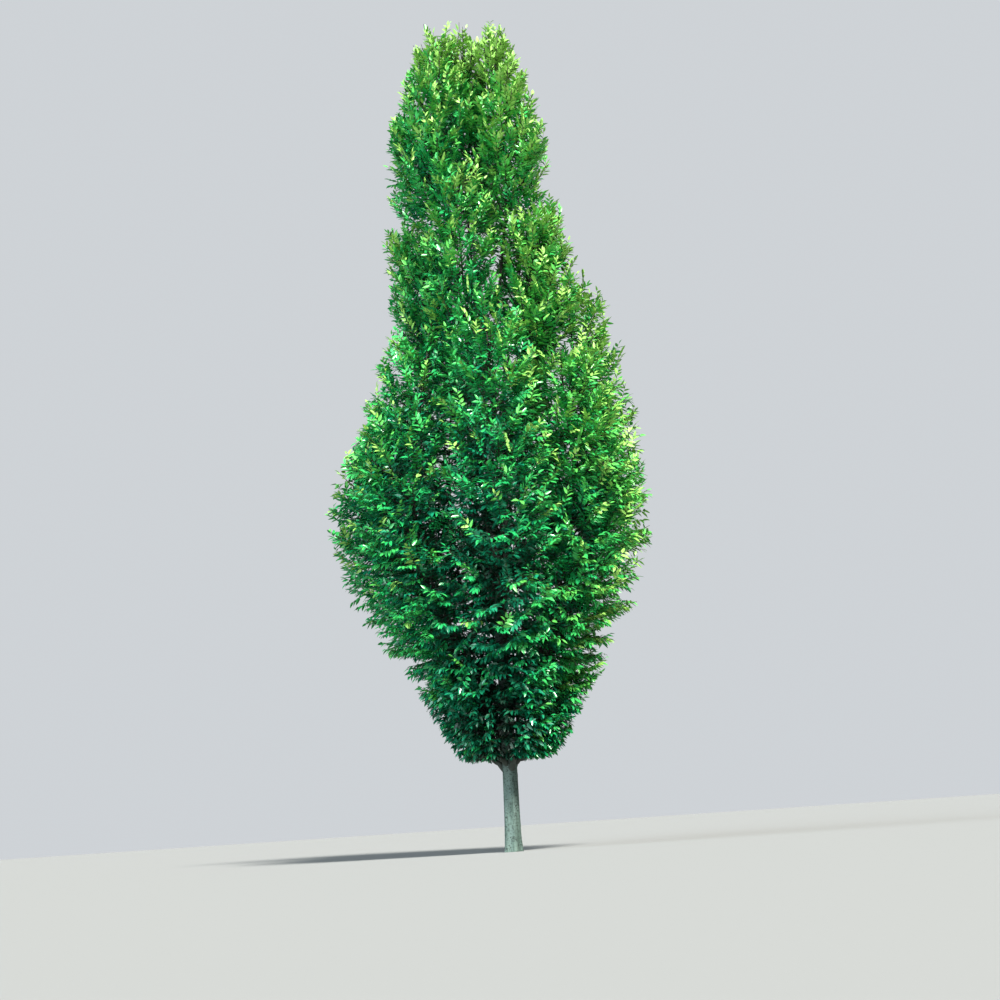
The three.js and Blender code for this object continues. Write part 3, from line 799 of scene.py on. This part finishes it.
# Side shoots: they leave each twig on alternate sides in its leaf plane, shorter towards its end, within its
# space. A share of those near a twig's end are young, and turn up.
def growShoots(twigs):
    slot = np.arange(shootRule["most"])[None, :]
    offset = dice.random((len(twigs["owner"]), 1))
    distance = shootRule["first"] + shootRule["gap"] * (slot + offset)
    share = distance / twigs["length"][:, None]
    starts = alongTwig(twigs, share)
    slopes = slopeTwig(twigs, share)
    outward = outwardAt(starts)
    scatter = dice.normal(size=(len(twigs["owner"]), 1, 3)) * shootRule["planeScatter"]
    plane = squareTo(shootRule["planeUp"] * upward + shootRule["planeOut"] * outward + scatter, slopes)
    across = np.cross(slopes, plane)
    side = np.where((slot + (twigs["owner"][:, None] % 2)) % 2 == 0, 1.0, -1.0)
    angle = np.radians(shootRule["angle"] + shootRule["angleScatter"] * dice.normal(size=share.shape))
    direction = slopes * np.cos(angle)[..., None] + across * (side * np.sin(angle))[..., None]
    high = starts[..., 2] / tree["height"]
    rise = upward * (shootRule["rise"] * high - shootRule["drop"])[..., None]
    direction = unit(direction + rise + shootRule["scatter"] * dice.normal(size=starts.shape))
    young = dice.random(share.shape) < shootRule["youngShare"] * rampAt(high, shootRule["youngRamp"])
    young = young & (share > shootRule["youngFrom"])
    direction = unit(direction + upward * np.where(young, shootRule["youngRise"], 0)[..., None])
    lengths = dice.uniform(*shootRule["lengths"], share.shape)
    wanted = shootRule["longest"] * (1 - shootRule["shorten"] * share) * lengths
    keep = share < shootRule["last"]
    owner = np.broadcast_to(twigs["owner"][:, None], share.shape)[keep]
    place = np.broadcast_to(twigs["place"][:, None], share.shape)[keep]
    starts, direction, wanted, young = starts[keep], direction[keep], wanted[keep], young[keep]
    room = reachOf(starts, direction, owner, wanted, margin=shootRule["margin"], fringe=twigRule["fringe"])
    sag = np.where(young, shootRule["youngSag"] * shootRule["sag"], sagOf(shootRule, high[keep]))
    keep = room > shootRule["least"]
    grown = {
        "owner": owner, "start": starts, "direction": direction,
        "length": room, "sag": sag, "place": place, "young": young,
    }
    return {key: value[keep] for key, value in grown.items()}


twigs = growTwigs()
shoots = growShoots(twigs)
print("grown:", len(twigs["owner"]), "twigs and", len(shoots["owner"]), "shoots")

leafRule = {
    "length": 0.054,
    "sizeScatter": (0.86, 1.14),
    "leastSize": 0.72,  # of the length
    "swell": 0.5,  # added to it in the middle of a shoot, by half a sine wave along it
    "swellFrom": 0.15,
    "swellSpan": 0.8,
    "lowSize": 1.05,  # at the foot of the crown, and further up
    "highSize": 0.98,
    "sizeRamp": (1.6, 0, 0, 1),
    "widthShare": 0.41,
    "gap": 0.0165,  # between leaves along a shoot
    "gapScatter": 0.35,
    "first": 0.012,
    "most": 22,
    "baseAngle": 58.0,
    "tipAngle": 28.0,
    "angleScatter": 8.0,
    "lastScatter": 6.0,  # of the last leaf, which points along its shoot
    "lowDroop": 0.5,
    "highDroop": 0.0,
    "droopRamp": (1.45, 0.1, 0, 1),
    "leastDroop": 0.75,
    "droopScatter": 0.5,
    "lastDroop": 0.5,
    "curl": 0.14,  # how far the tip bends down, as a share of the length
    "fold": 0.30,  # how far the edges rise for each share of width
    "planeUp": (0.6, 1.0),  # how much sprays face upwards, at the foot of the crown and higher up
    "planeOut": (0.6, 0.25),  # and outwards
    "planeRamp": (1.5, 0, 0, 1),
    "planeScatter": 0.25,
    "facePlane": 0.5,  # how much leaves face the way that their spray does
    "lowFaceUp": 0.5,  # and how much they turn up from it, at the foot of the crown
    "highFaceUp": 0.8,  # and from its middle up
    "faceRamp": (2.2, 0.3, 0, 1),
    "faceScatter": 0.42,
    "twigLeaves": 0.24,  # the length at a twig's end that bears leaves itself
    "twigLeafShare": 0.8,  # and the most of a short twig that does
    "twigEndSag": 0.2,
    "judgedAt": 0.6,  # the place along a spray that its depth and tint are worked out for
    "shell": 0.75,  # leaves stand this deep in the crown at most
    "thinFrom": 0.55,  # of that depth, where they grow fewer, and how soon they end
    "thinBand": 0.45,
    "margin": -0.02,  # leaf tips may cross into the next plume's space
    "fringe": 0.025,  # and stand out this much further than twigs
}
# The outline as shares of the length and of the width, round from the stalk, and the middle of the fan.
leafOutline = np.array([(0, 0), (0.28, -0.48), (0.66, -0.37), (1, 0), (0.66, 0.37), (0.28, 0.48), (0.46, 0)])

tintRule = {
    "base": 0.305,
    # high: lighter with height, painted light from above along with the paler young growth high up
    "high": 0.35,
    "footShade": 0.33,  # taken off towards the crown's foot
    "shadeFrom": 0.24,
    "shadeBand": 0.08,
    "place": 0.12,
    "depthShade": 1.35,  # painted light near the crown's skin and painted shade deeper in, with the darker green of real shade leaves
    "skin": 0.14,
    "skinLimits": (-0.3, 0.1),
    "sunny": 0.13,  # painted sunlight, added on the right
    "flanks": 0.42,  # painted light, added on both sides of the lower crown
    "flankLightFrom": 0.35,
    "flankLightRamp": (-1.6, -1.2, 0, 1),
    "scatter": 0.10,
    "youngLift": 0.32,
    "youngDepth": 0.12,
    "tipLift": 0.24,  # added towards the tips of shoots
    "tipFrom": 0.45,
    "tipRamp": (1.6, 0.1, 0.1, 1),
    "crownTop": 0.16,  # painted light with the paler young growth, added towards the crown's top
    "crownTopFrom": 0.86,
    "crownTopBand": 0.1,
}
# From the darkest to the brightest, each with its colour, roughness and gloss.
# Their dark end is painted shade and their bright end painted light, as well as the leaves' own greens.
leafTints = [
    ("deep shade leaves", (0.001, 0.020, 0.010), 0.45, 0.3),
    ("shade leaves", (0.001, 0.075, 0.034), 0.36, 0.45),
    ("blue green leaves", (0.005, 0.175, 0.082), 0.28, 0.65),
    ("mid green leaves", (0.012, 0.26, 0.072), 0.26, 0.6),
    ("fresh green leaves", (0.028, 0.32, 0.068), 0.3, 0.5),
    ("bright green leaves", (0.078, 0.38, 0.064), 0.36, 0.4),
    ("young tip leaves", (0.22, 0.45, 0.088), 0.42, 0.3),
]


# One plain finish, for leaves and twigs: a base colour with its own gloss.
def leafMaterial(name, colour, roughness, specular):
    material = bpy.data.materials.new(name)
    material.use_nodes = True
    shader = material.node_tree.nodes["Principled BSDF"]
    shader.inputs["Base Color"].default_value = (*colour, 1.0)
    shader.inputs["Roughness"].default_value = roughness
    shader.inputs["Specular IOR Level"].default_value = specular
    return material


leafFinishes = [leafMaterial(*tint) for tint in leafTints]


# The sprays: every side shoot, and the last stretch of every twig, with leaves down both sides.
def growSprays():
    bearing = np.minimum(twigs["length"] * leafRule["twigLeafShare"], leafRule["twigLeaves"])
    share = (1 - bearing / twigs["length"])[:, None]
    ends = {
        "owner": twigs["owner"],
        "start": alongTwig(twigs, share)[:, 0],
        "direction": slopeTwig(twigs, 0.5 + 0.5 * share)[:, 0],
        "length": bearing,
        "sag": twigs["sag"] * leafRule["twigEndSag"],
        "place": twigs["place"],
        "young": dice.random(len(bearing)) < shootRule["youngShare"],
    }
    return {key: np.concatenate([shoots[key], ends[key]]) for key in shoots}


# How bright a spray is, as a share of the way through the tints: a sum of what its height, its place on the
# plume's stem, its depth and its side of the tree give, with a scatter and a lift for young growth. Height,
# depth and side are painted light and shade: lighter up high, near the skin, on the right and on the lower
# flanks, painted shade deep inside and at the crown's foot.
def brightnessOf(sprays, high, depth, outward):
    # skin: painted light near the crown's skin, painted shade deeper in
    skin = np.clip(tintRule["skin"] - depth, *tintRule["skinLimits"])
    # low: the painted flank light, strongest low in the crown
    low = rampAt(high, tintRule["flankLightRamp"])
    footward = np.clip((tintRule["shadeFrom"] - high) / tintRule["shadeBand"], 0, 1)
    topward = np.clip((high - tintRule["crownTopFrom"]) / tintRule["crownTopBand"], 0, 1)
    bright = (
        tintRule["base"] + tintRule["high"] * high + tintRule["place"] * sprays["place"] ** 2
        + tintRule["depthShade"] * skin + tintRule["sunny"] * outward[:, 0]
        + tintRule["flanks"] * low * (np.abs(outward[:, 0]) - tintRule["flankLightFrom"])
        - tintRule["footShade"] * footward + tintRule["crownTop"] * topward
        + tintRule["scatter"] * dice.normal(size=len(depth))
    )
    return bright + np.where(sprays["young"] & (depth < tintRule["youngDepth"]), tintRule["youngLift"], 0)


# The leaves of all sprays as arrays: where each starts, which way it points and faces, its size and its tint.
# They leave the shoot on alternate sides at nearly even gaps, lean forward more towards its end, hang from it
# by their droop, and turn their faces up from the plane of their spray.
def growLeaves(sprays):
    middle = sprays["start"] + sprays["direction"] * sprays["length"][:, None] * leafRule["judgedAt"]
    depth = depthIn(middle)
    shell = leafRule["shell"]
    thinned = np.clip((depth - leafRule["thinFrom"] * shell) / (leafRule["thinBand"] * shell), 0, 1)
    bare = dice.random(len(depth)) < thinned
    sprays = {key: value[~bare] for key, value in sprays.items()}
    depth, middle = depth[~bare], middle[~bare]
    high = middle[:, 2] / tree["height"]
    outward = outwardAt(middle)
    bright = brightnessOf(sprays, high, depth, outward)
    k = np.arange(leafRule["most"])[None, :]
    shape = (len(depth), leafRule["most"])
    distance = leafRule["first"] + leafRule["gap"] * (k + leafRule["gapScatter"] * dice.random(shape))
    share = distance / sprays["length"][:, None]
    last = (share < 1) & (share + leafRule["gap"] / sprays["length"][:, None] >= 1)
    keep = share < 1
    base = alongTwig(sprays, np.where(keep, share, 1.0))
    slope = slopeTwig(sprays, np.where(keep, share, 1.0))
    turning = rampAt(high, leafRule["planeRamp"])[:, None, None]
    facing = blendOf(*leafRule["planeUp"], turning) * upward
    facing = facing + blendOf(*leafRule["planeOut"], turning) * outward[:, None]
    facing = facing + leafRule["planeScatter"] * dice.normal(size=(len(depth), 1, 3))
    plane = squareTo(facing, slope)
    across = np.cross(slope, plane)
    side = np.where((k + dice.integers(0, 2, (len(depth), 1))) % 2 == 0, 1.0, -1.0)
    angle = blendOf(leafRule["baseAngle"], leafRule["tipAngle"], np.clip(share, 0, 1))
    angle = angle + leafRule["angleScatter"] * dice.normal(size=shape)
    angle = np.radians(np.where(last, leafRule["lastScatter"] * dice.normal(size=shape), angle))
    direction = slope * np.cos(angle)[..., None] + across * (side * np.sin(angle))[..., None]
    droop = blendOf(leafRule["lowDroop"], leafRule["highDroop"], rampAt(high, leafRule["droopRamp"]))[:, None]
    droop = droop * (leafRule["leastDroop"] + leafRule["droopScatter"] * dice.random(shape))
    droop = droop * np.where(last, leafRule["lastDroop"], 1.0)
    direction = unit(direction - upward * droop[..., None])
    faceUp = blendOf(leafRule["lowFaceUp"], leafRule["highFaceUp"], rampAt(high, leafRule["faceRamp"]))
    turned = leafRule["facePlane"] * plane + faceUp[:, None, None] * upward
    face = squareTo(turned + leafRule["faceScatter"] * dice.normal(size=(*shape, 3)), direction)
    swell = np.sin(np.pi * np.clip(leafRule["swellFrom"] + leafRule["swellSpan"] * share, 0, 1))
    size = leafRule["length"] * (leafRule["leastSize"] + leafRule["swell"] * swell)
    size = size * dice.uniform(*leafRule["sizeScatter"], shape)
    grown = rampAt(high, leafRule["sizeRamp"])[:, None]
    size = size * blendOf(leafRule["lowSize"], leafRule["highSize"], grown)
    lift = tintRule["tipLift"] * np.clip(share - tintRule["tipFrom"], 0, 1)
    tone = bright[:, None] + lift * rampAt(high, tintRule["tipRamp"])[:, None]
    tint = np.clip(np.rint(tone * (len(leafTints) - 1)), 0, len(leafTints) - 1).astype(int)
    owner = np.broadcast_to(sprays["owner"][:, None], shape)
    leaves = {
        "owner": owner[keep], "base": base[keep], "direction": direction[keep], "face": face[keep],
        "size": size[keep], "tint": tint[keep],
    }
    tips = leaves["base"] + leaves["direction"] * leaves["size"][:, None]
    fringe = twigRule["fringe"] + leafRule["fringe"]
    room = inSpace(tips, leaves["owner"], margin=leafRule["margin"], fringe=fringe)
    return {key: value[room] for key, value in leaves.items()}


# Leaf blades: a fan of six triangles over a leaf's outline. The edges rise with their distance from the
# midrib, and the blade bends down with the square of the way along it.
def leafMesh(leaves):
    count = len(leaves["size"])
    right = np.cross(leaves["direction"], leaves["face"])[:, None]
    length = leaves["size"][:, None, None]
    along, across = leafOutline[None, :, 0:1], leafOutline[None, :, 1:2]
    lift = leafRule["fold"] * leafRule["widthShare"] * np.abs(across) - leafRule["curl"] * along**2
    blade = leaves["direction"][:, None] * along + right * leafRule["widthShare"] * across
    points = leaves["base"][:, None] + length * (blade + leaves["face"][:, None] * lift)
    rim = np.arange(len(leafOutline) - 1)
    fan = np.stack([rim, np.roll(rim, 1), np.full(len(rim), len(rim))], axis=1)
    triangles = (fan[None] + len(leafOutline) * np.arange(count)[:, None, None]).reshape(-1, 3)
    return points.reshape(-1, 3), [triangles], np.repeat(leaves["tint"], len(fan))


# One piece of leaves for each mass of the solids.
def makeLeaves():
    leaves = growLeaves(growSprays())
    print("leaves:", len(leaves["size"]), "tints:", np.bincount(leaves["tint"], minlength=len(leafTints)))
    for plume in plumes:
        mine = {key: value[leaves["owner"] == plume["index"]] for key, value in leaves.items()}
        points, groups, finishes = leafMesh(mine)
        piece = makePiece("leaves_" + plume["name"], points, groups, leafFinishes, finishes)
        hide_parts("foliage_" + plume["name"])
        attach(piece, "root")


makeLeaves()
print("leaves made")

twigTints = [
    ("older twigs", (0.024, 0.023, 0.016), 0.75, 0.3),
    ("young shoots", (0.034, 0.050, 0.014), 0.6, 0.3),
]
twigFinishes = [leafMaterial(*tint) for tint in twigTints]
stemPiece = {
    "rings": 40,
    "sides": 10,
    "sunk": 0.02,  # of its length, that a stem starts inside its bough
}


# One piece of wood for each mass: its stem, carried on from its bough, with its twigs and their shoots.
def makeTwigs():
    share = np.linspace(0, 1, twigRule["steps"])[None, :]
    twigPaths = alongTwig(twigs, np.broadcast_to(share, (len(twigs["owner"]), twigRule["steps"])))
    twigRadii = blendOf(twigRule["footRadius"], twigRule["tipRadius"], share ** twigRule["taperPower"])
    twigRadii = np.broadcast_to(twigRadii, twigPaths.shape[:2])
    fine = np.linspace(0, 1, shootRule["steps"])[None, :]
    shootPaths = alongTwig(shoots, np.broadcast_to(fine, (len(shoots["owner"]), shootRule["steps"])))
    shootRadii = blendOf(shootRule["footRadius"], shootRule["tipRadius"], fine)
    shootRadii = np.broadcast_to(shootRadii, shootPaths.shape[:2])
    for plume in plumes:
        mine = twigs["owner"] == plume["index"]
        fines = shoots["owner"] == plume["index"]
        t = np.linspace(-stemPiece["sunk"], plume["end"], stemPiece["rings"])
        stem = pathPoint(plume["places"], 0.5 + 0.5 * t)
        stemShare = np.clip(t / plume["end"], 0, 1)
        stemRadii = blendOf(plume["ring"]["entryRadius"], tree["stemTipRadius"], stemShare)
        points, groups, finishes = joined([
            (*tubeMesh(stem[None], stemRadii[None], stemPiece["sides"]), 0),
            (*tubeMesh(twigPaths[mine], twigRadii[mine], twigRule["sides"]), 0),
            (*tubeMesh(shootPaths[fines], shootRadii[fines], shootRule["sides"]), 1),
        ])
        piece = makePiece("twigs_" + plume["name"], points, groups, twigFinishes, finishes)
        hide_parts("foliage_" + plume["name"])
        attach(piece, "root")


makeTwigs()
print("twigs made")

studio = {
    "floorHalf": 60.0,
    "floorColour": (0.205, 0.21, 0.21, 1.0),
    "floorRoughness": 0.9,
    "skyColour": (0.86, 0.90, 0.94, 1.0),
    "backdropStrength": 0.72,  # what the viewer sees behind the tree
    "skyStrength": 0.13,  # what lights it
    "keyFrom": (3.6, -9.0, 10.5),
    "keyWidth": 12.0,  # degrees of the sky that the light fills
    "keyStrength": 10.8,
    "keyColour": (1.0, 0.97, 0.9),
    "fillFrom": (-9.0, -8.0, 5.0),
    "fillWidth": 70.0,
    "fillStrength": 5.4,
    "fillColour": (0.8, 0.93, 1.0),
}


# The floor: one level square, far wider than the tree.
def makeFloor():
    half = studio["floorHalf"]
    points = np.array([[-half, -half, 0], [half, -half, 0], [half, half, 0], [-half, half, 0]], float)
    material = bpy.data.materials.new("pale floor")
    material.use_nodes = True
    shader = material.node_tree.nodes["Principled BSDF"]
    shader.inputs["Base Color"].default_value = studio["floorColour"]
    shader.inputs["Roughness"].default_value = studio["floorRoughness"]
    floor = makePiece("floor", points, [np.array([[0, 1, 2, 3]])], [material])


# An even light from far off, soft by its width, that comes from one direction.
def addLight(name, source, width, strength, colour):
    data = bpy.data.lights.new(name, "SUN")
    data.angle = np.radians(width)
    data.energy = strength
    data.color = colour
    light = bpy.data.objects.new(name, data)
    ahead = -unit(np.array(source))
    right = unit(np.cross(ahead, upward))
    light.matrix_world = turnedTo(right, np.cross(right, ahead), -ahead, source)
    bpy.context.scene.collection.objects.link(light)


# The studio: an even pale world, a key light from high on the right and a wide fill from the left, shown with
# plain colours.
def makeStudio():
    bpy.context.scene.view_settings.view_transform = "Standard"
    world = bpy.data.worlds.new("studio")
    world.use_nodes = True
    nodeTree = world.node_tree
    sky = nodeTree.nodes["Background"]
    sky.inputs["Color"].default_value = studio["skyColour"]
    seen = addNode(nodeTree, "ShaderNodeLightPath").outputs["Is Camera Ray"]
    lit, shown = studio["skyStrength"], studio["backdropStrength"]
    strength = addNode(nodeTree, "ShaderNodeMapRange", Value=seen, in3=lit, in4=shown)
    nodeTree.links.new(strength.outputs[0], sky.inputs["Strength"])
    bpy.context.scene.world = world
    for name in ("key", "fill"):
        source, width = studio[name + "From"], studio[name + "Width"]
        addLight(name, source, width, studio[name + "Strength"], studio[name + "Colour"])


makeFloor()
makeStudio()
print("studio made")
